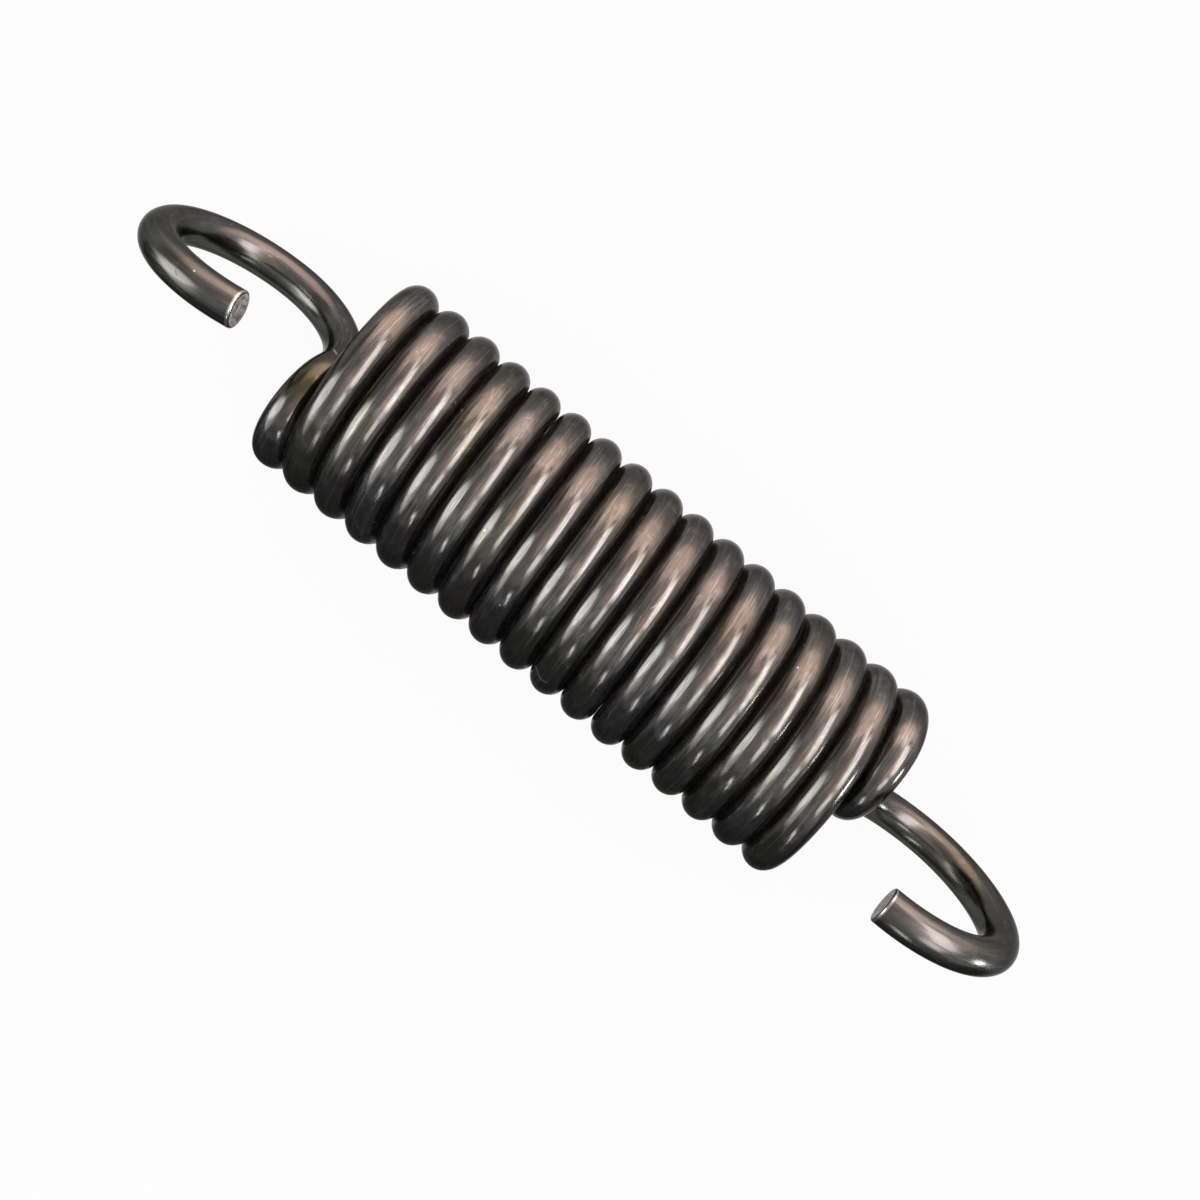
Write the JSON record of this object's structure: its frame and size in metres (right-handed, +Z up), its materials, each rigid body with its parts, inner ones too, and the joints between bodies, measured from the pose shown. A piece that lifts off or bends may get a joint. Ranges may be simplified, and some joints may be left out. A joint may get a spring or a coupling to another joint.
{
  "type": "extension spring",
  "caption": "Close-wound steel extension spring with an open hook at each end, lying on its side.",
  "frame": {"origin": "on the surface that the spring lies on, under the middle of its overall length and width", "axes": "+X along the coil's axis towards the right hook, +Z up, with both free ends of the hooks on the upper side"},
  "size_m": [0.1142, 0.0242, 0.0264],
  "materials": {
    "spring_steel": "dark oil-tempered wire, drawn, with a satin gloss"
  },
  "bodies": {
    "root": {"spring": "spring_steel"}
  },
  "joints": []
}
